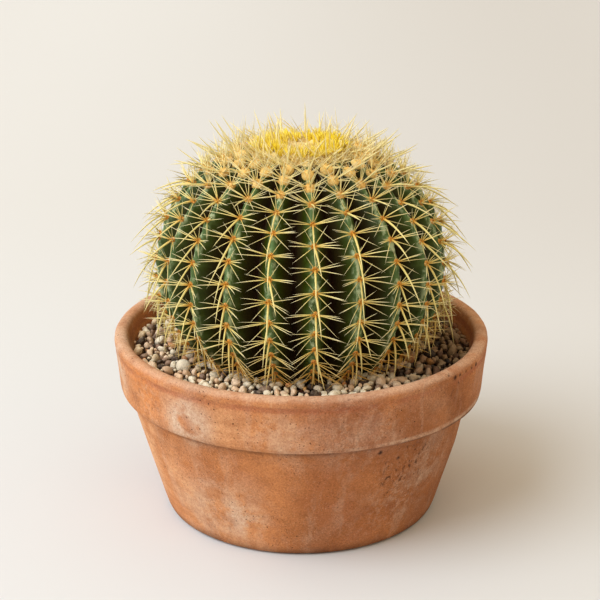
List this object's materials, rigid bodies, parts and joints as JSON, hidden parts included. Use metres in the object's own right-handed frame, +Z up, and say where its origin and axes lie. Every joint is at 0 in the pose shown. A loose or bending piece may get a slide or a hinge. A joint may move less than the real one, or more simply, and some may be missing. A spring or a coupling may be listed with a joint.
{
  "type": "potted round barrel cactus",
  "caption": "Round ribbed cactus with golden spines and a woolly crown, planted in a collared terracotta pot of soil under a gravel top dressing.",
  "frame": {"origin": "centre of the pot's underside, on the surface that it stands on", "axes": "+Z up, along the axis of the pot and the stem; -Y is the front, +X the right side"},
  "size_m": [0.26, 0.26, 0.2825],
  "materials": {
    "terracotta": "unglazed fired clay, matt, with pale lime bloom, pits and faint throwing lines",
    "soil": "dark, damp, crumbly potting soil",
    "gravel": "mixed beige, white, grey and brown rounded grit, dry and matt",
    "cactus_skin": "satin green skin, darker in the furrows, paler and bluish on the crests, with straw-yellow spines on tan cushions",
    "young_spines": "pale tan wool with bright yellow young spines"
  },
  "bodies": {
    "root": {"pot": "terracotta", "potting_soil": "soil", "gravel": "gravel", "cactus": "cactus_skin", "crown_wool": "young_spines"}
  },
  "joints": []
}
